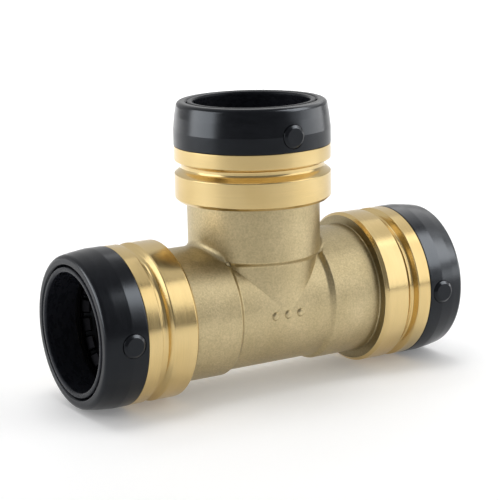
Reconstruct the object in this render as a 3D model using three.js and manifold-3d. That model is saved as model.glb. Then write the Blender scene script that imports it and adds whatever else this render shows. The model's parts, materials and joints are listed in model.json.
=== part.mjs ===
// Push-to-connect equal tee for 41.3 mm (1-1/2 inch nominal) copper-size pipe.
//
// A cast brass body has a machined cage collar on each of its three legs. Each collar holds an
// O-ring, an O-ring protector, a toothed grab ring and its support ring, closed by a plastic end
// cap. A release collar slides in the cap's mouth and can be pressed in to lift the teeth.
//
// Millimetres, +Z up. The run legs point along -X and +X, the branch leg along +Z, and the
// origin is on the ground below the point where the three axes meet. Each leg is described in a
// port frame of its own: +Z runs outward along the leg, and -Y is the front of the tee.
import * as THREE from "three";
import { mergeVertices } from "three/addons/utils/BufferGeometryUtils.js";
import Module from "manifold-3d";

// Driving dimensions. R is a radius from the leg's axis, and S a distance out along the leg.
const SEGMENTS = 32;
const SHORTEST_EDGE = 0.02;
const PIPE_R = 20.65;
const RUNNING_GAP = 0.35;

// Brass body, outside
const CORE_R = 22.7;
const NECK_R = 24.0;
const COLLAR_R = 28.2;
const COLLAR_CHAMFER = 1.1;
const STEP_IN_S = 18.3;
const STEP_OUT_S = 19.7;
const COLLAR_BACK_S = 39.1;
const GROOVE_R = 25.8;
const GROOVE_IN_S = 48.9;
const GROOVE_FLOOR_IN_S = 50.8;
const GROOVE_FLOOR_OUT_S = 52.6;
const GROOVE_OUT_S = 53.7;
const SEAM_S = 58.9;
const SPIGOT_R = 26.0;
const SPIGOT_END_S = 68.6;

// Brass body, inside
const FLOW_R = 19.0;
const SOCKET_R = PIPE_R + 0.3;
const STOP_S = 21.5;
const CAGE_R = 24.2;
const CAGE_IN_S = 42.2;

// End cap
const MOUTH_S = 74.6;
const CAP_R = 28.3;
const CAP_LAND_OUT_S = 64.6;
const CAP_TAPER_MID_S = 69.8;
const CAP_TAPER_MID_R = 27.75;
const CAP_SHOULDER_S = 73.9;
const CAP_SHOULDER_R = 27.0;
const CAP_FACE_R = 26.5;
const CAP_SKIRT_R = SPIGOT_R + RUNNING_GAP;
const CAP_LIP_R = 23.4;
const CAP_LIP_IN_S = 69.0;
const CAP_COUNTERSINK = 0.65;

// Release collar
const RELEASE_R = 23.0;
const RELEASE_BORE_R = PIPE_R + 0.42;
const RELEASE_FLANGE_R = CAGE_R - RUNNING_GAP;
const RELEASE_FLANGE_IN_S = 66.6;
const RELEASE_FLANGE_OUT_S = CAP_LIP_IN_S - RUNNING_GAP;
const RELEASE_BACK_S = 62.4;
const RELEASE_NOSE_R = 22.1;
const RELEASE_NOSE_OUT_S = 65.5;
const RELEASE_EDGE = 0.45;

// Rings held inside the cage
const RING_R = CAGE_R - RUNNING_GAP;
const O_RING_SECTION_R = 1.7;
const O_RING_SECTION_SIDES = 8;
const O_RING_S = CAGE_IN_S + RUNNING_GAP + O_RING_SECTION_R;
const PROTECTOR_BORE_R = PIPE_R + 0.35;
const PROTECTOR_IN_S = O_RING_S + O_RING_SECTION_R + RUNNING_GAP;
const PROTECTOR_OUT_S = 58.6;
const PROTECTOR_CONE_S = 55.2;
const PROTECTOR_RIM_R = 22.9;
const GRAB_THICKNESS = 0.7;
const GRAB_RIM_S = PROTECTOR_OUT_S + RUNNING_GAP;
const GRAB_RIM_R = 22.8;
const GRAB_TIP_R = 20.2;
const GRAB_TIP_S = 56.8;
const GRAB_TEETH = 20;
const GRAB_SLOT_WIDTH = 1.3;
const SUPPORT_IN_S = GRAB_RIM_S + GRAB_THICKNESS + RUNNING_GAP;
const SUPPORT_OUT_S = 61.8;
const SUPPORT_BORE_R = 22.5;

// Lock pins through cap and spigot
const PIN_S = 64.5;
const PIN_HOLE_R = 2.7;
const PIN_SHANK_R = PIN_HOLE_R - RUNNING_GAP;
const PIN_HEAD_R = 4.2;
const PIN_FACE_R = 3.1;
const PIN_SLOPE_R = 28.3;
const PIN_HEAD_TOP_R = 29.1;
const PIN_SEAT_R = 27.4;
const PIN_TIP_R = CAGE_R + 0.4;
const PIN_SEGMENTS = 16;

const wasm = await Module();
wasm.setup();

// Materials

function castBrass() {
  return new THREE.MeshStandardMaterial({ color: 0xb09a66, roughness: 0.45, metalness: 1.0 });
}

function blackPlastic() {
  return new THREE.MeshStandardMaterial({ color: 0x17181b, roughness: 0.42, metalness: 0.0 });
}

function ringPlastic() {
  return new THREE.MeshStandardMaterial({ color: 0x2c2e31, roughness: 0.5, metalness: 0.0 });
}

function sealRubber() {
  return new THREE.MeshStandardMaterial({ color: 0x0d0d0e, roughness: 0.8, metalness: 0.0 });
}

function springSteel() {
  return new THREE.MeshStandardMaterial({ color: 0x3b3b3d, roughness: 0.3, metalness: 1.0 });
}

// Turned solids. An outline is a list of [radius, distance along the axis] that runs round the
// section with the material on its left. Flats, not corners, lie at the stated radius.

function turned(outline, segments = SEGMENTS) {
  const flatScale = 1 / Math.cos(Math.PI / segments);
  const profile = outline.map(([r, s]) => new THREE.Vector2(r * flatScale, s));
  const geometry = new THREE.LatheGeometry(profile, segments);
  geometry.rotateY(Math.PI / segments);
  geometry.rotateX(Math.PI / 2);
  return geometry;
}

function closedLoop(outline) {
  return [...outline, outline[0]];
}

function mirroredThroughCentre(outline) {
  const otherLeg = outline.map(([r, s]) => [r, -s]).reverse();
  return [...otherLeg, ...outline];
}

// A round bar along the port frame's Y axis, from one distance in front of the leg's axis to
// another behind it.
function barAlongY(radius, fromY, toY, s) {
  const bar = new THREE.CylinderGeometry(radius, radius, toY - fromY, PIN_SEGMENTS);
  bar.translate(0, (fromY + toY) / 2, s);
  return bar;
}

// Joins and cuts

function toSolid(geometry) {
  const bare = geometry.clone();
  bare.deleteAttribute("normal");
  bare.deleteAttribute("uv");
  const merged = mergeVertices(bare);
  return new wasm.Manifold(new wasm.Mesh({
    numProp: 3,
    vertProperties: new Float32Array(merged.attributes.position.array),
    triVerts: new Uint32Array(merged.index.array),
  }));
}

function toGeometry(solid) {
  const mesh = solid.asOriginal().simplify(SHORTEST_EDGE).getMesh();
  const geometry = new THREE.BufferGeometry();
  geometry.setAttribute("position", new THREE.BufferAttribute(mesh.vertProperties, 3));
  geometry.setIndex(new THREE.BufferAttribute(mesh.triVerts, 1));
  const welded = mergeVertices(geometry, SHORTEST_EDGE);
  welded.computeVertexNormals();
  return welded;
}

function joined(geometries) {
  return geometries.map(toSolid).reduce((whole, piece) => whole.add(piece));
}

function cut(solid, cutters) {
  return cutters.map(toSolid).reduce((rest, cutter) => rest.subtract(cutter), solid);
}

// Brass body

function legOutline() {
  return [
    [CORE_R, STEP_IN_S],
    [NECK_R, STEP_OUT_S],
    [NECK_R, COLLAR_BACK_S],
    [COLLAR_R - COLLAR_CHAMFER, COLLAR_BACK_S],
    [COLLAR_R, COLLAR_BACK_S + COLLAR_CHAMFER],
    [COLLAR_R, GROOVE_IN_S],
    [GROOVE_R, GROOVE_FLOOR_IN_S],
    [GROOVE_R, GROOVE_FLOOR_OUT_S],
    [COLLAR_R, GROOVE_OUT_S],
    [COLLAR_R, SEAM_S],
    [SPIGOT_R, SEAM_S],
    [SPIGOT_R, SPIGOT_END_S],
    [0, SPIGOT_END_S],
  ];
}

function boreOutline() {
  const openEnd = SPIGOT_END_S + 1;
  return [
    [FLOW_R, STOP_S],
    [SOCKET_R, STOP_S],
    [SOCKET_R, CAGE_IN_S],
    [CAGE_R, CAGE_IN_S],
    [CAGE_R, openEnd],
    [0, openEnd],
  ];
}

function alongRun(geometry) {
  return geometry.rotateY(Math.PI / 2);
}

function pinHoleInPort(port) {
  const hole = barAlongY(PIN_HOLE_R, -CAP_R, CAP_R, PIN_S);
  return hole.rotateY(port.turn);
}

function teeBodyGeometry(ports) {
  const run = alongRun(turned(mirroredThroughCentre(legOutline())));
  const branch = turned([[0, 0], [CORE_R, 0], ...legOutline()]);
  const runBore = alongRun(turned(mirroredThroughCentre(boreOutline())));
  const branchBore = turned([[0, 0], [FLOW_R, 0], ...boreOutline()]);
  const casting = joined([run, branch]);
  return toGeometry(cut(casting, [runBore, branchBore, ...ports.map(pinHoleInPort)]));
}

// Port pieces

function endCapGeometry() {
  const shell = turned(closedLoop([
    [CAP_SKIRT_R, SEAM_S + RUNNING_GAP],
    [CAP_R, SEAM_S + RUNNING_GAP],
    [CAP_R, CAP_LAND_OUT_S],
    [CAP_TAPER_MID_R, CAP_TAPER_MID_S],
    [CAP_SHOULDER_R, CAP_SHOULDER_S],
    [CAP_FACE_R, MOUTH_S],
    [CAP_LIP_R + CAP_COUNTERSINK, MOUTH_S],
    [CAP_LIP_R, MOUTH_S - CAP_COUNTERSINK],
    [CAP_LIP_R, CAP_LIP_IN_S],
    [CAP_SKIRT_R, CAP_LIP_IN_S],
  ]));
  const shankHole = barAlongY(PIN_HOLE_R, -PIN_HEAD_TOP_R, PIN_HEAD_TOP_R, PIN_S);
  const seatR = PIN_HEAD_R + RUNNING_GAP;
  const frontSeat = barAlongY(seatR, -PIN_HEAD_TOP_R, -PIN_SEAT_R, PIN_S);
  const backSeat = barAlongY(seatR, PIN_SEAT_R, PIN_HEAD_TOP_R, PIN_S);
  return toGeometry(cut(toSolid(shell), [shankHole, frontSeat, backSeat]));
}

// The front pin, with its head outward; the back pin is the same one turned half round.
function lockPinGeometry() {
  const headSeatY = PIN_SEAT_R + RUNNING_GAP;
  const pin = turned([
    [0, -PIN_HEAD_TOP_R],
    [PIN_FACE_R, -PIN_HEAD_TOP_R],
    [PIN_HEAD_R, -PIN_SLOPE_R],
    [PIN_HEAD_R, -headSeatY],
    [PIN_SHANK_R, -headSeatY],
    [PIN_SHANK_R, -PIN_TIP_R],
    [0, -PIN_TIP_R],
  ], PIN_SEGMENTS);
  pin.rotateX(-Math.PI / 2);
  pin.translate(0, 0, PIN_S);
  return pin;
}

function releaseCollarGeometry() {
  return turned(closedLoop([
    [RELEASE_BORE_R, RELEASE_BACK_S],
    [RELEASE_NOSE_R - RELEASE_EDGE, RELEASE_BACK_S],
    [RELEASE_NOSE_R, RELEASE_BACK_S + RELEASE_EDGE],
    [RELEASE_NOSE_R, RELEASE_NOSE_OUT_S],
    [RELEASE_R, RELEASE_NOSE_OUT_S],
    [RELEASE_R, RELEASE_FLANGE_IN_S],
    [RELEASE_FLANGE_R, RELEASE_FLANGE_IN_S],
    [RELEASE_FLANGE_R, RELEASE_FLANGE_OUT_S],
    [RELEASE_R, RELEASE_FLANGE_OUT_S],
    [RELEASE_R, MOUTH_S - RELEASE_EDGE],
    [RELEASE_R - RELEASE_EDGE, MOUTH_S],
    [RELEASE_BORE_R + RELEASE_EDGE, MOUTH_S],
    [RELEASE_BORE_R, MOUTH_S - RELEASE_EDGE],
  ]));
}

function oRingGeometry() {
  const centreR = RING_R - O_RING_SECTION_R;
  const section = [];
  for (let i = 0; i < O_RING_SECTION_SIDES; i += 1) {
    const angle = (2 * Math.PI * i) / O_RING_SECTION_SIDES;
    section.push([
      centreR + O_RING_SECTION_R * Math.cos(angle),
      O_RING_S + O_RING_SECTION_R * Math.sin(angle),
    ]);
  }
  return turned(closedLoop(section));
}

function protectorGeometry() {
  return turned(closedLoop([
    [PROTECTOR_BORE_R, PROTECTOR_IN_S],
    [RING_R, PROTECTOR_IN_S],
    [RING_R, PROTECTOR_OUT_S],
    [PROTECTOR_RIM_R, PROTECTOR_OUT_S],
    [PROTECTOR_BORE_R, PROTECTOR_CONE_S],
  ]));
}

// A flat rim carrying a cone of teeth that lean in towards the pipe stop.
function grabRingGeometry() {
  const cone = turned(closedLoop([
    [GRAB_TIP_R, GRAB_TIP_S],
    [GRAB_RIM_R, GRAB_RIM_S],
    [RING_R, GRAB_RIM_S],
    [RING_R, GRAB_RIM_S + GRAB_THICKNESS],
    [GRAB_RIM_R, GRAB_RIM_S + GRAB_THICKNESS],
    [GRAB_TIP_R, GRAB_TIP_S + GRAB_THICKNESS],
  ]));
  const slotLength = GRAB_RIM_R - GRAB_TIP_R + 1;
  const slotHeight = GRAB_RIM_S - GRAB_TIP_S + 3;
  const slots = [];
  for (let i = 0; i < GRAB_TEETH; i += 1) {
    const slot = new THREE.BoxGeometry(slotLength, GRAB_SLOT_WIDTH, slotHeight);
    slot.translate(GRAB_RIM_R - slotLength / 2, 0, (GRAB_RIM_S + GRAB_TIP_S) / 2);
    slots.push(slot.rotateZ((2 * Math.PI * i) / GRAB_TEETH));
  }
  return toGeometry(cut(toSolid(cone), slots));
}

function supportRingGeometry() {
  return turned(closedLoop([
    [SUPPORT_BORE_R, SUPPORT_IN_S],
    [RING_R, SUPPORT_IN_S],
    [RING_R, SUPPORT_OUT_S],
    [SUPPORT_BORE_R, SUPPORT_OUT_S],
  ]));
}

// Assembly

function named(name, geometry, material) {
  const mesh = new THREE.Mesh(geometry, material);
  mesh.name = name;
  return mesh;
}

function portAssembly(port) {
  const pieces = new THREE.Group();
  pieces.rotation.y = port.turn;
  const backPin = named(`${port.name}_lock_pin_back`, lockPinGeometry(), blackPlastic());
  backPin.rotation.z = Math.PI;
  pieces.add(
    named(`${port.name}_o_ring`, oRingGeometry(), sealRubber()),
    named(`${port.name}_o_ring_protector`, protectorGeometry(), ringPlastic()),
    named(`${port.name}_grab_ring`, grabRingGeometry(), springSteel()),
    named(`${port.name}_support_ring`, supportRingGeometry(), ringPlastic()),
    named(`${port.name}_release_collar`, releaseCollarGeometry(), blackPlastic()),
    named(`${port.name}_end_cap`, endCapGeometry(), blackPlastic()),
    named(`${port.name}_lock_pin_front`, lockPinGeometry(), blackPlastic()),
    backPin,
  );
  return pieces;
}

const ports = [
  { name: "left", turn: -Math.PI / 2 },
  { name: "right", turn: Math.PI / 2 },
  { name: "top", turn: 0 },
];

const group = new THREE.Group();
group.position.z = CAP_R;
group.add(named("tee_body", teeBodyGeometry(ports), castBrass()));
group.add(...ports.map(portAssembly));

export default group;
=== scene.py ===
import json
import math

import bmesh
import bpy
import numpy as np
from mathutils import Matrix, Vector

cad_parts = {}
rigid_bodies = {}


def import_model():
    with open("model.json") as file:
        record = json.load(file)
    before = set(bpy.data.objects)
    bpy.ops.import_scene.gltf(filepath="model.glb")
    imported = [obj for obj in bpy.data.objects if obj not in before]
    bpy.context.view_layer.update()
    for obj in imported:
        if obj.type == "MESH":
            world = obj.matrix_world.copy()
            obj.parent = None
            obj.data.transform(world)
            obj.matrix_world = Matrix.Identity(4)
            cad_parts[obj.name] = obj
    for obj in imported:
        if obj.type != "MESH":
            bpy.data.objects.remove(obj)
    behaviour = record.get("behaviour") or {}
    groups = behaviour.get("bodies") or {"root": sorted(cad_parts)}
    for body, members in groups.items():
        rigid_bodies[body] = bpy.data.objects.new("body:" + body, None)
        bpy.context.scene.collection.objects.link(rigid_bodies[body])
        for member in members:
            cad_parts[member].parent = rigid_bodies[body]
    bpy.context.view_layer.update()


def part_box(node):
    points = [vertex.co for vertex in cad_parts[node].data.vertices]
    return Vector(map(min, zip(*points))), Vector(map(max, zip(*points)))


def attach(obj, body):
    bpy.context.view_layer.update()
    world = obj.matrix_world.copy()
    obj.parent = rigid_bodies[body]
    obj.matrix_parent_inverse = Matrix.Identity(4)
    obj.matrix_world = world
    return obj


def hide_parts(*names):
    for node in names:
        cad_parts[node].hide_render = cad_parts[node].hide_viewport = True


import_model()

MM = 0.001


def leg_measures():
    """The height of the run's axis in metres, and how far the mouth of a leg is out in mm."""
    low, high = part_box("left_end_cap")
    return (low[2] + high[2]) / 2, -low[0] / MM


AXIS_Z, MOUTH_S = leg_measures()
PORTS = ("left", "right", "top")

# Brass body. R is a radius from the leg's axis, and S a distance out along the leg.
CORE_R = 22.7
NECK_R = 24.0
COLLAR_R = 28.2
COLLAR_CHAMFER = 1.1
STEP_IN_S = 18.3
STEP_OUT_S = 19.7
COLLAR_BACK_S = 39.1
GROOVE_R = 25.8
GROOVE_IN_S = 48.9
GROOVE_FLOOR_IN_S = 50.8
GROOVE_FLOOR_OUT_S = 52.6
GROOVE_OUT_S = 53.7
SEAM_S = 58.9
SPIGOT_R = 26.0
SPIGOT_END_S = 68.6
FLOW_R = 19.0
SOCKET_R = 20.95
STOP_S = 21.5
CAGE_R = 24.2
CAGE_IN_S = 42.2
BLEND_END_S = 29.5

# Fillet between run and branch. It fades between two cosines of the angle between their walls.
CAST_FILLET = 2.6
FILLET_FULL_BELOW = 0.16
FILLET_GONE_ABOVE = 0.42

# Pips on the front of the casting
PIP_R = 1.2
PIP_CORNER_R = 0.9
PIP_HEIGHT = 0.7
PIP_FOOT_R = 2.1
PIP_FOOT_DEPTH = 1.0
PIP_PITCH = 5.2

# End cap and lock pins
SEAM_GAP = 0.12
CAP_R = 28.28
CAP_LAND_OUT_S = 64.6
CAP_TAPER_MID_R = 27.72
CAP_TAPER_MID_S = 69.8
CAP_SHOULDER_R = 26.9
CAP_LIP_R = 23.4
CAP_MOUTH_R = 24.0
CAP_BEVEL_DEPTH = 0.9
CAP_LIP_IN_S = 69.0
CAP_SKIRT_R = 26.35
PIN_S = 64.5
PIN_FACE_R = 3.1
PIN_HEAD_R = 4.15
PIN_SEAT_R = 4.35
PIN_HEAD_TOP_R = 29.05
PIN_SLOPE_R = 28.25
PIN_UNDER_R = 27.5
PIN_SEAT_FLOOR_R = 27.4

# Moving and inner pieces
RELEASE_R = 23.0
RELEASE_BORE_R = 21.07
RELEASE_FLANGE_R = 23.85
RELEASE_FLANGE_IN_S = 66.6
RELEASE_FLANGE_OUT_S = 68.65
RELEASE_BACK_S = 62.4
RELEASE_NOSE_R = 22.1
RELEASE_NOSE_OUT_S = 65.5
RING_R = 23.85
O_RING_SECTION_R = 1.7
O_RING_SECTION_SIDES = 20
O_RING_S = 44.25
PROTECTOR_BORE_R = 21.0
PROTECTOR_IN_S = 46.3
PROTECTOR_OUT_S = 58.6
PROTECTOR_CONE_S = 55.2
PROTECTOR_RIM_R = 22.9
GRAB_THICKNESS = 0.6
GRAB_OUTER_R = 23.75
GRAB_RIM_S = 59.3
GRAB_RIM_R = 22.8
GRAB_TIP_R = 20.25
GRAB_TIP_S = 57.2
GRAB_TEETH = 20
SUPPORT_IN_S = 60.0
SUPPORT_OUT_S = 61.8
SUPPORT_BORE_R = 22.5

# Mesh columns round a turned piece, and rows and columns of the grab ring
COLUMNS = 160
PIN_COLUMNS = 64
PIP_COLUMNS = 32
GRAB_RIM_ROWS = 3
GRAB_TOOTH_ROWS = 7
COLUMNS_PER_TOOTH = 9
COLUMNS_PER_SLOT = 2

# Mesh steps along an outline, and small allowances, in millimetres
ROW_STEP = 1.5
EDGE_STEP = 0.15
MITRE_STEP = 0.1
FINISH_MARGIN = 0.2
STOP_MARGIN = 0.5
WELL_OVERSHOOT = 2.0
SEARCH_MARGIN = 0.5
SEARCH_SLACK = 0.01
LEAST_BLEND = 1e-6
MERGE_DISTANCE = 0.001

# Angles, and steps of a bisection
ARC_STEP = math.radians(18)
STRAIGHT_ENOUGH = math.radians(89)
SHARP_ANGLE = math.radians(40)
BISECTIONS = 40

# Order of the casting's materials; the third is painted shade on the back faces of the collars
AS_CAST, MACHINED, BACK_FACE_SHADE = range(3)

# The moving bodies of a leg, by the CAD nodes that ride on them
MOVING_BODY = {"release_collar": "release", "support_ring": "grip", "grab_ring": "grip"}

# Linear colours: the dark and light ends of each mottle, and two plain ones with alpha
CAST_BRASS = ((0.520, 0.424, 0.238), (0.636, 0.525, 0.308))
TURNED_BRASS = ((0.665, 0.488, 0.215), (0.755, 0.580, 0.285))
BLACK_PLASTIC = ((0.0022, 0.0024, 0.0032), (0.0045, 0.0048, 0.0062))
BLACK_RUBBER = ((0.006, 0.006, 0.007), (0.014, 0.014, 0.015))
# Painted shade: the grab teeth darkened nearly to black, as they lie in shade deep inside the mouths
STRIP_DARKENED_AS_SHADE = ((0.006, 0.006, 0.007), (0.014, 0.014, 0.016))
FLOOR_GREY = ((0.87, 0.87, 0.87), (0.89, 0.89, 0.89))
PLASTIC_SHEEN = (0.85, 0.92, 1.0, 1.0)
WHITE = (1.0, 1.0, 1.0, 1.0)

# Materials that have lamps of their own
CAP_PLASTIC = "black_plastic_satin"
BRIGHT_BRASS = "turned_brass_bright"
PALE_FLOOR = "pale_floor"

# Camera, from angles in degrees and lengths in millimetres. Its aim is measured from the point
# where the three leg axes meet.
CAMERA_AZIMUTH = math.radians(31.07)
CAMERA_ELEVATION = math.radians(12.68)
CAMERA_ROLL = math.radians(-1.17)
CAMERA_DISTANCE = 643.5
CAMERA_AIM = (-1.8, 0.0, 19.6)
CAMERA_LENS = 127.5
CAMERA_CLIP_START = 10.0

# Floor, with its size in metres, and world, which brightens between two values of a direction's Y
FLOOR_HALF_SIZE = 3.0
FLOOR_GLOW = 0.17
WORLD_FRONT_Y = -0.3
WORLD_BACK_Y = 0.6
WORLD_FRONT_STRENGTH = 0.24
WORLD_BACK_STRENGTH = 0.74

# Softboxes that face the point where the leg axes meet, all as far from it, in metres
LAMP_DISTANCE = 1.1

# Each softbox: name, azimuth and elevation in degrees, size in metres, radiance, and the only
# material that it lights, if any. Azimuth 0 is in front, 90 on the +X side.
SOFTBOXES = (
    ("front_right_box", 55, 28.5, (1.05, 1.1), 1.35, None),
    ("left_box", -104, 16, (0.9, 0.85), 1.7, None),
    ("front_right_kicker", 50, 38, (0.68, 0.8), 9.0, CAP_PLASTIC),
    ("right_kicker", 70, 4, (1.1, 0.25), 3.8, CAP_PLASTIC),
    ("right_top_kicker", 114, 38, (1.1, 0.6), 1.3, CAP_PLASTIC),
    ("left_kicker", -110, 14, (0.9, 0.6), 6.0, CAP_PLASTIC),
    ("overhead_box", 200, 87, (0.42, 0.42), 1.6, BRIGHT_BRASS),
    ("right_top_box", 98, 58, (0.9, 0.6), 0.42, BRIGHT_BRASS),
)

# Gridded lamps that look straight down and light the floor only: name, centre and size in
# metres, energy in watts, and spread in degrees.
FLOOR_LAMPS = (
    ("table_lamp", (0, 0.12, 1.1), (0.5, 0.5), 0.58, 64),
    ("side_lamp", (0.38, -0.2, 0.7), (0.3, 0.3), 0.35, 70),
    ("background_lamp", (0, 1.9, 1.2), (4.0, 2.4), 56, 90),
)


# ---------------------------------------------------------------- outlines

def arc_round(before, corner, after, radius):
    """Points of the arc that rounds one corner, or the corner alone where radius is 0."""
    to_before = (before - corner) / np.linalg.norm(before - corner)
    to_after = (after - corner) / np.linalg.norm(after - corner)
    half = math.acos(float(np.clip(to_before @ to_after, -1, 1))) / 2
    if radius == 0 or half > STRAIGHT_ENOUGH:
        return [corner]
    middle = (to_before + to_after) / np.linalg.norm(to_before + to_after)
    centre = corner + middle * radius / math.sin(half)
    start = corner + to_before * radius / math.tan(half) - centre
    end = corner + to_after * radius / math.tan(half) - centre
    sweep = math.pi - 2 * half
    steps = max(2, math.ceil(sweep / ARC_STEP))
    shares = [(1 - i / steps, i / steps) for i in range(steps + 1)]
    weights = [(math.sin(a * sweep), math.sin(b * sweep)) for a, b in shares]
    return [centre + (start * a + end * b) / math.sin(sweep) for a, b in weights]


def filled_in(points, closed):
    """The same line with more points on its straight stretches, close together near their ends."""
    pairs = list(zip(points, points[1:] + points[:1] if closed else points[1:]))
    out = []
    for start, end in pairs:
        length = float(np.linalg.norm(end - start))
        out.append(start)
        if length > 3 * EDGE_STEP:
            inner = max(1, round((length - 2 * EDGE_STEP) / ROW_STEP))
            for i in range(inner + 1):
                along = EDGE_STEP + (length - 2 * EDGE_STEP) * i / inner
                out.append(start + (end - start) * along / length)
    return np.array(out if closed else out + [points[-1]])


def outline(corners, closed=True):
    """An array of [radius, along] from corners of (radius, along, corner radius)."""
    places = [np.array([float(radius), float(along)]) for radius, along, _ in corners]
    count = len(corners)
    points = []
    for i, (_, _, rounding) in enumerate(corners):
        if not closed and i in (0, count - 1):
            points.append(places[i])
        else:
            points += arc_round(places[i - 1], places[i], places[(i + 1) % count], rounding)
    return filled_in(points, closed)


def body_outline():
    """From the middle out over the collar, and back in through the cage and the waterway."""
    return outline([
        (CORE_R, 0, 0),
        (CORE_R, STEP_IN_S, 1.2),
        (NECK_R, STEP_OUT_S, 0.8),
        (NECK_R, COLLAR_BACK_S, 0.45),
        (COLLAR_R - COLLAR_CHAMFER, COLLAR_BACK_S, 0.2),
        (COLLAR_R, COLLAR_BACK_S + COLLAR_CHAMFER, 0.3),
        (COLLAR_R, GROOVE_IN_S, 0.35),
        (GROOVE_R, GROOVE_FLOOR_IN_S, 1.2),
        (GROOVE_R, GROOVE_FLOOR_OUT_S, 0.6),
        (COLLAR_R, GROOVE_OUT_S, 0.3),
        (COLLAR_R, SEAM_S, 0.15),
        (SPIGOT_R, SEAM_S, 0.1),
        (SPIGOT_R, SPIGOT_END_S, 0.3),
        (CAGE_R, SPIGOT_END_S, 0.3),
        (CAGE_R, CAGE_IN_S, 0.4),
        (SOCKET_R, CAGE_IN_S, 0.4),
        (SOCKET_R, STOP_S, 0.3),
        (FLOW_R, STOP_S, 0.3),
        (FLOW_R, 0, 0),
    ], closed=False)


def cap_outline():
    """A shell over the spigot, with a tapered outside and a bevelled mouth."""
    return outline([
        (CAP_SKIRT_R, SEAM_S + SEAM_GAP, 0.1),
        (CAP_R, SEAM_S + SEAM_GAP, 0.25),
        (CAP_R, CAP_LAND_OUT_S, 0.5),
        (CAP_TAPER_MID_R, CAP_TAPER_MID_S, 12),
        (CAP_SHOULDER_R, MOUTH_S, 1.7),
        (CAP_MOUTH_R, MOUTH_S, 0.3),
        (CAP_LIP_R, MOUTH_S - CAP_BEVEL_DEPTH, 0.3),
        (CAP_LIP_R, CAP_LIP_IN_S, 0.2),
        (CAP_SKIRT_R, CAP_LIP_IN_S, 0.2),
    ])


def release_outline():
    """A thin sleeve with a nose towards the teeth and a flange that the cap holds back."""
    return outline([
        (RELEASE_BORE_R, RELEASE_BACK_S, 0.3),
        (RELEASE_NOSE_R, RELEASE_BACK_S, 0.45),
        (RELEASE_NOSE_R, RELEASE_NOSE_OUT_S, 0.2),
        (RELEASE_R, RELEASE_NOSE_OUT_S, 0.2),
        (RELEASE_R, RELEASE_FLANGE_IN_S, 0.2),
        (RELEASE_FLANGE_R, RELEASE_FLANGE_IN_S, 0.2),
        (RELEASE_FLANGE_R, RELEASE_FLANGE_OUT_S, 0.2),
        (RELEASE_R, RELEASE_FLANGE_OUT_S, 0.2),
        (RELEASE_R, MOUTH_S, 0.5),
        (RELEASE_BORE_R, MOUTH_S, 0.8),
    ])


def protector_outline():
    """A spacer from the O-ring to the grab ring, with a cone behind the teeth."""
    return outline([
        (PROTECTOR_BORE_R, PROTECTOR_IN_S, 0.4),
        (RING_R, PROTECTOR_IN_S, 0.3),
        (RING_R, PROTECTOR_OUT_S, 0.3),
        (PROTECTOR_RIM_R, PROTECTOR_OUT_S, 0.2),
        (PROTECTOR_BORE_R, PROTECTOR_CONE_S, 0.6),
    ])


def support_outline():
    """A washer on the mouth side of the grab ring."""
    return outline([
        (SUPPORT_BORE_R, SUPPORT_IN_S, 0.3),
        (RING_R, SUPPORT_IN_S, 0.2),
        (RING_R, SUPPORT_OUT_S, 0.2),
        (SUPPORT_BORE_R, SUPPORT_OUT_S, 0.5),
    ])


def o_ring_outline():
    """A round section."""
    angles = np.arange(O_RING_SECTION_SIDES) * 2 * math.pi / O_RING_SECTION_SIDES
    centre_r = RING_R - O_RING_SECTION_R
    radii = centre_r + O_RING_SECTION_R * np.cos(angles)
    return np.stack([radii, O_RING_S + O_RING_SECTION_R * np.sin(angles)], axis=1)


def pin_outline():
    """A short plug with a sloped edge round its face."""
    return outline([
        (0, PIN_HEAD_TOP_R, 0),
        (PIN_FACE_R, PIN_HEAD_TOP_R, 0.25),
        (PIN_HEAD_R, PIN_SLOPE_R, 0.3),
        (PIN_HEAD_R, PIN_UNDER_R, 0),
        (0, PIN_UNDER_R, 0),
    ], closed=False)


# ---------------------------------------------------------------- mesh building

def port_matrix(port):
    """Takes a leg's own frame, +Z outward along it and -Y to the front, to the tee's frame."""
    turn = {"left": -math.pi / 2, "right": math.pi / 2, "top": 0.0}[port]
    return Matrix.Translation((0, 0, AXIS_Z)) @ Matrix.Rotation(turn, 4, "Y")


def facing_front():
    """Turns a piece made about +Z to stand on the Y axis, towards -Y, the front."""
    return Matrix.Rotation(math.pi / 2, 4, "X")


def finish_mesh(name, vertices, faces, materials, face_materials=None, turning=None):
    """An object from vertices in mm, with shared vertices merged and its faces pointing out."""
    mesh = bpy.data.meshes.new(name)
    mesh.from_pydata([tuple(v * MM) for v in vertices], [], faces)
    for material in materials:
        mesh.materials.append(material)
    if face_materials is not None:
        mesh.polygons.foreach_set("material_index", face_materials)
    if turning is not None:
        layer = mesh.attributes.new("turning", "FLOAT_VECTOR", "POINT")
        layer.data.foreach_set("vector", np.asarray(turning, dtype=np.float32).ravel())
    work = bmesh.new()
    work.from_mesh(mesh)
    bmesh.ops.remove_doubles(work, verts=work.verts, dist=MERGE_DISTANCE * MM)
    bmesh.ops.recalc_face_normals(work, faces=work.faces)
    work.to_mesh(mesh)
    work.free()
    mesh.shade_smooth()
    piece = bpy.data.objects.new(name, mesh)
    bpy.context.scene.collection.objects.link(piece)
    return piece


def travel(points):
    """How far along the outline each of its points is, in mm."""
    return np.concatenate([[0], np.cumsum(np.linalg.norm(np.diff(points, axis=0), axis=1))])


def grid_faces(columns, rows, closed):
    """Quads over vertices numbered column by column, wrapping round, and along if closed."""
    faces = []
    for column in range(columns):
        here = column * rows
        there = (column + 1) % columns * rows
        for row in range(rows if closed else rows - 1):
            following = (row + 1) % rows
            faces.append((here + row, there + row, there + following, here + following))
    return faces


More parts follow.
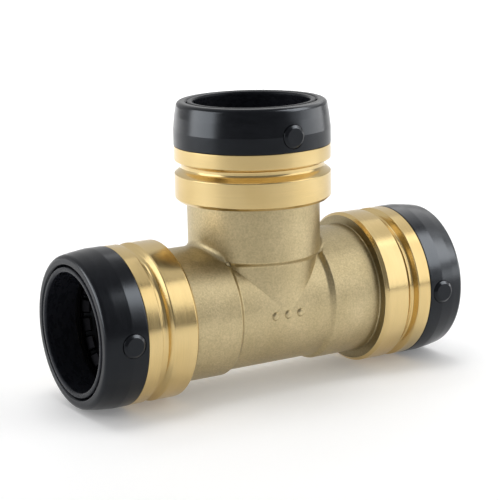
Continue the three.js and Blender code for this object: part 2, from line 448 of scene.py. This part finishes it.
def revolved(name, points, materials, columns=COLUMNS, closed=True):
    """A turned piece about the Z axis of its own frame.

    Its attribute "turning" holds the direction from the axis and the travel along the outline.
    """
    angles = np.arange(columns) * 2 * math.pi / columns
    along = travel(points)
    radius = points[:, 0][None, :]
    x = radius * np.cos(angles)[:, None]
    y = radius * np.sin(angles)[:, None]
    z = np.broadcast_to(points[:, 1][None, :], x.shape)
    turning = np.stack([
        np.broadcast_to(np.cos(angles)[:, None], x.shape),
        np.broadcast_to(np.sin(angles)[:, None], x.shape),
        np.broadcast_to(along[None, :], x.shape),
    ], axis=2)
    vertices = np.stack([x, y, z], axis=2).reshape(-1, 3)
    faces = grid_faces(columns, len(points), closed)
    return finish_mesh(name, vertices, faces, materials, turning=turning.reshape(-1, 3))


def placed(piece, port, before=Matrix.Identity(4)):
    """Moves a piece's mesh from a leg's own frame to the tee's."""
    piece.data.transform(port_matrix(port) @ before)
    return piece


def cut_by(piece, cutter):
    """Takes the cutter's volume out of the piece and deletes the cutter."""
    modifier = piece.modifiers.new("cut", "BOOLEAN")
    modifier.operation = "DIFFERENCE"
    modifier.solver = "EXACT"
    modifier.object = cutter
    with bpy.context.temp_override(object=piece, active_object=piece):
        bpy.ops.object.modifier_apply(modifier=modifier.name)
    bpy.data.objects.remove(cutter)


# ---------------------------------------------------------------- brass body

def outer_radius_at(points):
    """A function of distance along a leg: the casting's radius before the legs are blended."""
    casting = points[:np.argmax(points[:, 1] > BLEND_END_S) + 1]
    return lambda s: np.interp(s, casting[:, 1], casting[:, 0])


def outside_by(radius_at, rho, s, cosine):
    """How far a point is outside the blended run and branch.

    The point is rho from its own leg's axis and s along it. cosine is of its angle round the
    leg, from the direction of the crossing leg. The fillet fades where both walls face one way.
    """
    own = rho - radius_at(s)
    other_rho = np.sqrt(s ** 2 + rho ** 2 * (1 - cosine ** 2))
    other = other_rho - radius_at(rho * cosine)
    alignment = rho * (1 - cosine ** 2) / other_rho
    fade = (FILLET_GONE_ABOVE - alignment) / (FILLET_GONE_ABOVE - FILLET_FULL_BELOW)
    fade = np.clip(fade, 0, 1)
    blend = np.maximum(CAST_FILLET * fade ** 2 * (3 - 2 * fade), LEAST_BLEND)
    overlap = np.maximum(blend - np.abs(own - other), 0)
    return np.minimum(own, other) - overlap ** 2 / (4 * blend)


def solved(gap_at, low, high):
    """The radius between low and high at which gap_at is zero, by bisection."""
    for _ in range(BISECTIONS):
        middle = (low + high) / 2
        outside = gap_at(middle) > 0
        high = np.where(outside, middle, high)
        low = np.where(outside, low, middle)
    return (low + high) / 2


def leg_columns(points, cosine):
    """Radius and distance for every column and row of one leg, cut off at the mitre.

    cosine holds, for each column, that of its angle from the crossing leg. The first row lies on
    the mitre, and rows that would fall short of it are pushed out, a small step apart.
    """
    radius_at = outer_radius_at(points)
    reach = np.maximum(cosine, 0.0)
    lowest = np.full_like(reach, CORE_R - SEARCH_MARGIN)
    highest = np.full_like(reach, NECK_R + CAST_FILLET)
    mitre_r = solved(lambda r: outside_by(radius_at, r, r * reach, reach), lowest, highest)
    mitre_r = np.where(cosine > 0, mitre_r, CORE_R)
    rows = len(points)
    spigot_row = int(np.argmax(points[:, 1]))
    waterway_end = STOP_S - STOP_MARGIN
    radius = np.repeat(points[:, 0][None, :], len(cosine), axis=0)
    along = np.repeat(points[:, 1][None, :], len(cosine), axis=0)
    for row, distance in enumerate(points[:, 1]):
        if row < spigot_row and distance < BLEND_END_S:
            s = np.maximum(distance, mitre_r * reach + row * MITRE_STEP)
            low = radius_at(s) - SEARCH_SLACK
            blended = solved(lambda r: outside_by(radius_at, r, s, reach), low, low + CAST_FILLET)
            radius[:, row] = np.where(cosine > 0, blended, radius_at(s))
            along[:, row] = s
        if row > spigot_row and distance < waterway_end:
            inward = rows - 1 - row
            along[:, row] = np.maximum(distance, FLOW_R * reach + inward * MITRE_STEP)
    radius[:, 0] = mitre_r
    return radius, along


def row_materials(points):
    """Which of the casting's materials has the band after each row of its outline; the collar's back
    face gets painted shade.
    """
    radius, along = ((points[:-1] + points[1:]) / 2).T
    outside = np.arange(len(along)) < np.argmax(points[:, 1])
    inside_chamfer = radius < COLLAR_R - COLLAR_CHAMFER
    casting = outside & inside_chamfer & (along < COLLAR_BACK_S + FINISH_MARGIN)
    waterway = ~outside & (along < STOP_S - FINISH_MARGIN)
    # The collar's back face, in the corner against the neck, gets brass darkened as painted shade
    behind = casting & (along > COLLAR_BACK_S - FINISH_MARGIN)
    return np.where(behind, BACK_FACE_SHADE, np.where(casting | waterway, AS_CAST, MACHINED))


def tee_body(materials):
    """The whole casting, from materials for its cast and machined surfaces and for the painted shade
    on its collars' back faces.
    """
    points = body_outline()
    rows = len(points)
    angles = np.arange(COLUMNS) * 2 * math.pi / COLUMNS
    toward, front = np.cos(angles)[:, None], np.sin(angles)[:, None]
    along_outline = np.broadcast_to(travel(points)[None, :], (COLUMNS, rows))
    vertices, turning, faces = [], [], []
    for leg in PORTS:
        # The branch meets the run on two sides, and each leg of the run meets it on one.
        cosine = np.abs(np.cos(angles)) if leg == "top" else np.cos(angles)
        radius, along = leg_columns(points, cosine)
        axes = {
            "left": (-along, -radius * front, radius * toward),
            "right": (along, -radius * front, radius * toward),
            "top": (radius * toward, -radius * front, along),
        }[leg]
        first = len(vertices) * COLUMNS * rows
        vertices.append(np.stack(axes, axis=2).reshape(-1, 3))
        round_leg = [np.broadcast_to(part, along.shape) for part in (toward, front)]
        turning.append(np.stack([*round_leg, along_outline], axis=2).reshape(-1, 3))
        faces += [tuple(first + i for i in face) for face in grid_faces(COLUMNS, rows, False)]
    face_materials = np.tile(row_materials(points), COLUMNS * len(vertices))
    piece = finish_mesh(
        "tee_body_smooth",
        np.concatenate(vertices),
        faces,
        materials,
        face_materials,
        np.concatenate(turning),
    )
    piece.data.transform(Matrix.Translation((0, 0, AXIS_Z)))
    return piece


# ---------------------------------------------------------------- other pieces

def end_cap(port, material):
    """A cap with two wells for the heads of its pins, in front and behind."""
    piece = revolved(f"{port}_cap_shell", cap_outline(), [material])
    for side in (1, -1):
        floor = PIN_SEAT_FLOOR_R * side
        top = (PIN_HEAD_TOP_R + WELL_OVERSHOOT) * side
        well = np.array([(0, floor), (PIN_SEAT_R, floor), (PIN_SEAT_R, top), (0, top)])
        cutter = revolved("well", well, [material], columns=PIN_COLUMNS, closed=False)
        cutter.data.transform(Matrix.Translation((0, 0, PIN_S * MM)) @ facing_front())
        cut_by(piece, cutter)
    piece.data.set_sharp_from_angle(angle=SHARP_ANGLE)
    return placed(piece, port)


def front_pips(material):
    """Three plain raised pips on the front of the casting."""
    points = outline([
        (0, CORE_R + PIP_HEIGHT, 0),
        (PIP_R, CORE_R + PIP_HEIGHT, PIP_CORNER_R),
        (PIP_FOOT_R, CORE_R - PIP_FOOT_DEPTH, 0),
        (0, CORE_R - PIP_FOOT_DEPTH, 0),
    ], closed=False)
    pips = []
    for number in (1, 2, 3):
        name = f"front_pip_{number}"
        pip = revolved(name, points, [material], columns=PIP_COLUMNS, closed=False)
        stand = Matrix.Translation(((number - 2) * PIP_PITCH * MM, 0, AXIS_Z))
        pip.data.transform(stand @ facing_front())
        pips.append(pip)
    return pips


def lock_pin(port, side, material):
    """A plug in the front or the back of a cap."""
    name = f"{port}_pin_{side}"
    piece = revolved(name, pin_outline(), [material], columns=PIN_COLUMNS, closed=False)
    half_turn = math.pi if side == "back" else 0.0
    stand = Matrix.Translation((0, 0, PIN_S * MM)) @ Matrix.Rotation(half_turn, 4, "Z")
    return placed(piece, port, stand @ facing_front())


def grab_ring(port, material):
    """A flat rim with a cone of teeth, cut from one sheet and given its thickness."""
    columns = GRAB_TEETH * COLUMNS_PER_TOOTH
    radii = np.concatenate([
        np.linspace(GRAB_OUTER_R, GRAB_RIM_R, GRAB_RIM_ROWS + 1),
        np.linspace(GRAB_RIM_R, GRAB_TIP_R, GRAB_TOOTH_ROWS + 1)[1:],
    ])
    slope = (GRAB_RIM_S - GRAB_TIP_S) / (GRAB_RIM_R - GRAB_TIP_R)
    heights = GRAB_RIM_S - np.maximum(GRAB_RIM_R - radii, 0) * slope
    angles = np.arange(columns) * 2 * math.pi / columns
    rows = len(radii)
    vertices = [
        np.array([r * math.cos(a), r * math.sin(a), s])
        for a in angles
        for r, s in zip(radii, heights)
    ]
    faces = []
    for column in range(columns):
        in_slot = column % COLUMNS_PER_TOOTH < COLUMNS_PER_SLOT
        here = column * rows
        there = (column + 1) % columns * rows
        for row in range(GRAB_RIM_ROWS if in_slot else rows - 1):
            faces.append((here + row, there + row, there + row + 1, here + row + 1))
    piece = finish_mesh(f"{port}_grab_teeth", vertices, faces, [material])
    used = bmesh.new()
    used.from_mesh(piece.data)
    bmesh.ops.delete(used, geom=[v for v in used.verts if not v.link_faces], context="VERTS")
    used.to_mesh(piece.data)
    used.free()
    thickness = piece.modifiers.new("thickness", "SOLIDIFY")
    thickness.thickness = GRAB_THICKNESS * MM
    thickness.offset = 0
    return placed(piece, port)


# ---------------------------------------------------------------- materials

class Surface:
    """A Principled material with short helpers for its node tree."""

    def __init__(self, name, **settings):
        self.material = bpy.data.materials.new(name)
        self.material.use_nodes = True
        self.nodes = self.material.node_tree.nodes
        self.links = self.material.node_tree.links
        self.shader = self.nodes["Principled BSDF"]
        for socket, value in settings.items():
            self.shader.inputs[socket.replace("_", " ")].default_value = value

    def place(self):
        """Coordinates in metres in the tee's frame."""
        return self.nodes.new("ShaderNodeTexCoord").outputs["Object"]

    def turned_place(self, across, along):
        """Coordinates that vary slowly round the axis, so that a pattern becomes turning lines."""
        attribute = self.nodes.new("ShaderNodeAttribute")
        attribute.attribute_name = "turning"
        mapping = self.nodes.new("ShaderNodeMapping")
        mapping.inputs["Scale"].default_value = (across, across, along)
        self.links.new(attribute.outputs["Vector"], mapping.inputs["Vector"])
        return mapping.outputs["Vector"]

    def noise(self, vector, scale, detail=3.0, roughness=0.5):
        """A pattern with values round 0.5."""
        node = self.nodes.new("ShaderNodeTexNoise")
        node.inputs["Scale"].default_value = scale
        node.inputs["Detail"].default_value = detail
        node.inputs["Roughness"].default_value = roughness
        self.links.new(vector, node.inputs["Vector"])
        return node.outputs["Fac"]

    def spread(self, value, low, high, start=0.3, end=0.7):
        """Maps start..end of a pattern to low..high."""
        node = self.nodes.new("ShaderNodeMapRange")
        node.inputs["From Min"].default_value = start
        node.inputs["From Max"].default_value = end
        node.inputs["To Min"].default_value = low
        node.inputs["To Max"].default_value = high
        self.links.new(value, node.inputs["Value"])
        return node.outputs["Result"]

    def sum(self, first, second, share):
        """The first pattern plus a share of the second."""
        node = self.nodes.new("ShaderNodeMath")
        node.operation = "MULTIPLY_ADD"
        self.links.new(second, node.inputs[0])
        node.inputs[1].default_value = share
        self.links.new(first, node.inputs[2])
        return node.outputs["Value"]

    def tint(self, value, dark, light, tone=1.0):
        """A colour between dark and light, times tone, by a pattern's value from 0 to 1."""
        node = self.nodes.new("ShaderNodeMix")
        node.data_type = "RGBA"
        node.inputs["A"].default_value = (*(tone * part for part in dark), 1)
        node.inputs["B"].default_value = (*(tone * part for part in light), 1)
        self.links.new(value, node.inputs["Factor"])
        return node.outputs["Result"]

    def shade(self, colour, value, low):
        """The colour darkened towards low times itself where the value is 0."""
        node = self.nodes.new("ShaderNodeMix")
        node.data_type = "RGBA"
        node.blend_type = "MULTIPLY"
        node.inputs["Factor"].default_value = 1.0
        grey = self.tint(value, (low, low, low), (1.0, 1.0, 1.0))
        self.links.new(colour, node.inputs["A"])
        self.links.new(grey, node.inputs["B"])
        return node.outputs["Result"]

    def relief(self, height, depth_mm, strength=1.0):
        """Raises the surface by a pattern."""
        node = self.nodes.new("ShaderNodeBump")
        node.inputs["Strength"].default_value = strength
        node.inputs["Distance"].default_value = depth_mm * MM
        self.links.new(height, node.inputs["Height"])
        self.links.new(node.outputs["Normal"], self.shader.inputs["Normal"])

    def drive(self, socket, value):
        """Sets a socket of the shader by a pattern or a colour."""
        self.links.new(value, self.shader.inputs[socket])


def cast_brass(name, tone=1.0):
    """Bead-blasted brass casting: khaki, dull, with an uneven grain and faint staining."""
    surface = Surface(name, Metallic=1.0)
    place = surface.place()
    grain = surface.noise(place, scale=1500, detail=2.0, roughness=0.6)
    blotches = surface.noise(place, scale=480, roughness=0.6)
    stain = surface.noise(place, scale=60, detail=4.0, roughness=0.55)
    colour = surface.tint(surface.spread(stain, 0, 1), *CAST_BRASS, tone)
    mottle = surface.sum(grain, blotches, share=0.3)
    colour = surface.shade(colour, surface.spread(mottle, 0, 1, start=0.47, end=0.83), low=0.78)
    surface.drive("Base Color", colour)
    surface.drive("Roughness", surface.spread(blotches, 0.36, 0.44))
    surface.relief(surface.sum(grain, blotches, share=0.25), depth_mm=0.085, strength=0.8)
    return surface.material


def turned_brass():
    """Machined brass: bright, with fine turning lines and a little tarnish."""
    surface = Surface(BRIGHT_BRASS, Metallic=1.0)
    fine = surface.noise(surface.turned_place(across=1.2, along=5.0), scale=1.0, roughness=0.7)
    broad = surface.noise(surface.turned_place(across=2.5, along=1.1), scale=1.0, detail=2.0)
    tarnish = surface.spread(surface.noise(surface.place(), scale=40), 0, 1)
    colour = surface.tint(tarnish, *TURNED_BRASS)
    colour = surface.shade(colour, surface.spread(fine, 0, 1), low=0.88)
    surface.drive("Base Color", colour)
    polish = surface.sum(fine, broad, share=0.5)
    surface.drive("Roughness", surface.spread(polish, 0.14, 0.24, start=0.5, end=1.0))
    surface.relief(fine, depth_mm=0.005)
    return surface.material


def black_plastic(name, gloss, roughness, tone=1.0):
    """Moulded black plastic, with a fine mould texture and soft scuffs."""
    surface = Surface(name, Metallic=0.0, Specular_IOR_Level=gloss)
    surface.shader.inputs["Specular Tint"].default_value = PLASTIC_SHEEN
    texture = surface.noise(surface.place(), scale=2600, detail=2.0)
    around = surface.turned_place(across=6.0, along=0.5)
    scuffs = surface.noise(around, scale=1.0, detail=5.0, roughness=0.65)
    colour = surface.tint(surface.spread(scuffs, 0, 1), *BLACK_PLASTIC, tone)
    surface.drive("Base Color", colour)
    surface.drive("Roughness", surface.spread(scuffs, *roughness))
    surface.relief(texture, depth_mm=0.006, strength=0.6)
    return surface.material


def seal_rubber():
    """Greased black rubber."""
    surface = Surface("seal_rubber_greased", Metallic=0.0)
    smear = surface.noise(surface.place(), scale=350)
    surface.drive("Base Color", surface.tint(smear, *BLACK_RUBBER))
    surface.drive("Roughness", surface.spread(smear, 0.25, 0.6))
    surface.relief(smear, depth_mm=0.03, strength=0.4)
    return surface.material


def spring_steel():
    """Stamped spring strip with a rolled grain, its colour darkened nearly to black as painted shade
    deep in the mouths.
    """
    surface = Surface("strip_steel_painted_shade", Metallic=1.0)
    rolled = surface.noise(surface.place(), scale=900)
    surface.drive("Base Color", surface.tint(rolled, *STRIP_DARKENED_AS_SHADE))
    surface.drive("Roughness", surface.spread(rolled, 0.32, 0.48))
    surface.relief(rolled, depth_mm=0.01, strength=0.5)
    return surface.material


# ---------------------------------------------------------------- assembly

def stand_for(piece, node, body):
    """The piece replaces a CAD node and moves with a body."""
    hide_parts(node)
    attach(piece, body)


def stand_in_port(piece, port, part):
    """The piece replaces a CAD node of one leg."""
    body = f"{port}_{MOVING_BODY[part]}" if part in MOVING_BODY else "body"
    stand_for(piece, f"{port}_{part}", body)


def build_body():
    """The casting and its pips, which stand for the tee body too."""
    brass = cast_brass("cast_brass_blasted")
    # A darker copy of the cast brass, as painted shade on the back faces of the collars
    back_face_shade_brass = cast_brass("cast_brass_painted_shade", tone=0.55)
    body = tee_body([brass, turned_brass(), back_face_shade_brass])
    for pip in front_pips(brass):
        stand_for(pip, "tee_body", "body")
    stand_for(body, "tee_body", "body")


def build_port(port, finishes):
    """Every piece of one leg but the casting."""
    stand_in_port(end_cap(port, finishes["cap"]), port, "end_cap")
    for side in ("front", "back"):
        pin = lock_pin(port, side, finishes["cap"])
        stand_in_port(pin, port, f"lock_pin_{side}")
    rings = (
        ("release_ring", release_outline(), "collar", "release_collar", "black_plastic"),
        ("protector_ring", protector_outline(), "ring", "o_ring_protector", "ring_plastic"),
        ("support_washer", support_outline(), "ring", "support_ring", "ring_plastic"),
        ("seal_ring", o_ring_outline(), "seal", "o_ring", "seal_rubber"),
    )
    for name, points, finish, part, slot in rings:
        ring = placed(revolved(f"{port}_{name}", points, [finishes[finish]]), port)
        stand_in_port(ring, port, part)
    stand_in_port(grab_ring(port, finishes["strip"]), port, "grab_ring")


def build_object():
    """The finishes of the legs, and then every piece."""
    finishes = {
        "cap": black_plastic(CAP_PLASTIC, gloss=0.26, roughness=(0.21, 0.25)),
        # Painted light: tone 3.5 lightens this copy of the black plastic, to lift the dark insides of
        # the mouths
        "collar": black_plastic("collar_plastic_satin", gloss=0.16, roughness=(0.24, 0.32), tone=3.5),
        "ring": black_plastic("ring_plastic_matte", gloss=0.26, roughness=(0.45, 0.60)),
        "seal": seal_rubber(),
        "strip": spring_steel(),
    }
    build_body()
    for port in PORTS:
        build_port(port, finishes)


def collection_of(material_name):
    """The objects made of one material, for lamps that light nothing else."""
    pieces = bpy.data.collections.new(material_name)
    for piece in bpy.data.objects:
        if piece.type == "MESH" and material_name in piece.data.materials:
            pieces.objects.link(piece)
    return pieces


# ---------------------------------------------------------------- stage, light and camera

def camera():
    """A long lens that looks down at the tee from its front left."""
    back = Vector((
        -math.sin(CAMERA_AZIMUTH) * math.cos(CAMERA_ELEVATION),
        -math.cos(CAMERA_AZIMUTH) * math.cos(CAMERA_ELEVATION),
        math.sin(CAMERA_ELEVATION),
    ))
    level = (-back).cross(Vector((0, 0, 1))).normalized()
    upright = level.cross(-back)
    right = level * math.cos(CAMERA_ROLL) + upright * math.sin(CAMERA_ROLL)
    up = upright * math.cos(CAMERA_ROLL) - level * math.sin(CAMERA_ROLL)
    aim = Vector(CAMERA_AIM) * MM + Vector((0, 0, AXIS_Z))
    place = aim + back * CAMERA_DISTANCE * MM
    data = bpy.data.cameras.new("camera")
    data.lens = CAMERA_LENS
    data.clip_start = CAMERA_CLIP_START * MM
    holder = bpy.data.objects.new("camera", data)
    turn = Matrix((right, up, back)).transposed().to_4x4()
    holder.matrix_world = Matrix.Translation(place) @ turn
    bpy.context.scene.collection.objects.link(holder)
    bpy.context.scene.camera = holder


def pale_floor():
    """A pale floor that glows a little."""
    surface = Surface(PALE_FLOOR, Roughness=0.6, Emission_Strength=FLOOR_GLOW)
    surface.shader.inputs["Emission Color"].default_value = WHITE
    mottle = surface.noise(surface.place(), scale=6, detail=2.0)
    surface.drive("Base Color", surface.tint(mottle, *FLOOR_GREY))
    mesh = bpy.data.meshes.new("floor")
    half = FLOOR_HALF_SIZE
    corners = [(-half, -half, 0), (half, -half, 0), (half, half, 0), (-half, half, 0)]
    mesh.from_pydata(corners, [], [(0, 1, 2, 3)])
    mesh.materials.append(surface.material)
    floor = bpy.data.objects.new("floor", mesh)
    bpy.context.scene.collection.objects.link(floor)


def area_lamp(name, size, energy, place, only):
    """A rectangular lamp that lights every object, or only those of one collection."""
    data = bpy.data.lights.new(name, "AREA")
    data.shape = "RECTANGLE"
    data.size, data.size_y = size
    data.energy = energy
    lamp = bpy.data.objects.new(name, data)
    lamp.matrix_world = place
    bpy.context.scene.collection.objects.link(lamp)
    if only:
        lamp.light_linking.receiver_collection = only
    return lamp


def softbox(name, azimuth, elevation, size, radiance, only):
    """A lamp that faces the tee from a direction in degrees."""
    turn, lift = math.radians(azimuth), math.radians(elevation)
    away = Vector((
        math.sin(turn) * math.cos(lift),
        -math.cos(turn) * math.cos(lift),
        math.sin(lift),
    ))
    centre = away * LAMP_DISTANCE + Vector((0, 0, AXIS_Z))
    aim = away.to_track_quat("Z", "Y").to_matrix().to_4x4()
    energy = radiance * math.pi * size[0] * size[1]
    area_lamp(name, size, energy, Matrix.Translation(centre) @ aim, only)


def floor_lamp(name, centre, size, energy, spread, floor):
    """A gridded lamp that looks straight down and lights nothing but the floor."""
    lamp = area_lamp(name, size, energy, Matrix.Translation(centre), floor)
    lamp.data.spread = math.radians(spread)


def room():
    """A world that is bright behind the tee and darker in front of it."""
    world = bpy.data.worlds.new("studio")
    world.use_nodes = True
    nodes, links = world.node_tree.nodes, world.node_tree.links
    place = nodes.new("ShaderNodeTexCoord")
    split = nodes.new("ShaderNodeSeparateXYZ")
    ramp = nodes.new("ShaderNodeMapRange")
    ramp.inputs["From Min"].default_value = WORLD_FRONT_Y
    ramp.inputs["From Max"].default_value = WORLD_BACK_Y
    ramp.inputs["To Min"].default_value = WORLD_FRONT_STRENGTH
    ramp.inputs["To Max"].default_value = WORLD_BACK_STRENGTH
    links.new(place.outputs["Generated"], split.inputs["Vector"])
    links.new(split.outputs["Y"], ramp.inputs["Value"])
    links.new(ramp.outputs["Result"], nodes["Background"].inputs["Strength"])
    nodes["Background"].inputs["Color"].default_value = WHITE
    bpy.context.scene.world = world


def lamps():
    """Every lamp, after the collections that some of them light."""
    lit = {name: collection_of(name) for name in (CAP_PLASTIC, BRIGHT_BRASS, PALE_FLOOR)}
    for name, azimuth, elevation, size, radiance, only in SOFTBOXES:
        softbox(name, azimuth, elevation, size, radiance, lit.get(only))
    for name, centre, size, energy, spread in FLOOR_LAMPS:
        floor_lamp(name, centre, size, energy, spread, lit[PALE_FLOOR])


camera()
build_object()
pale_floor()
room()
lamps()
bpy.context.scene.view_settings.view_transform = "Standard"
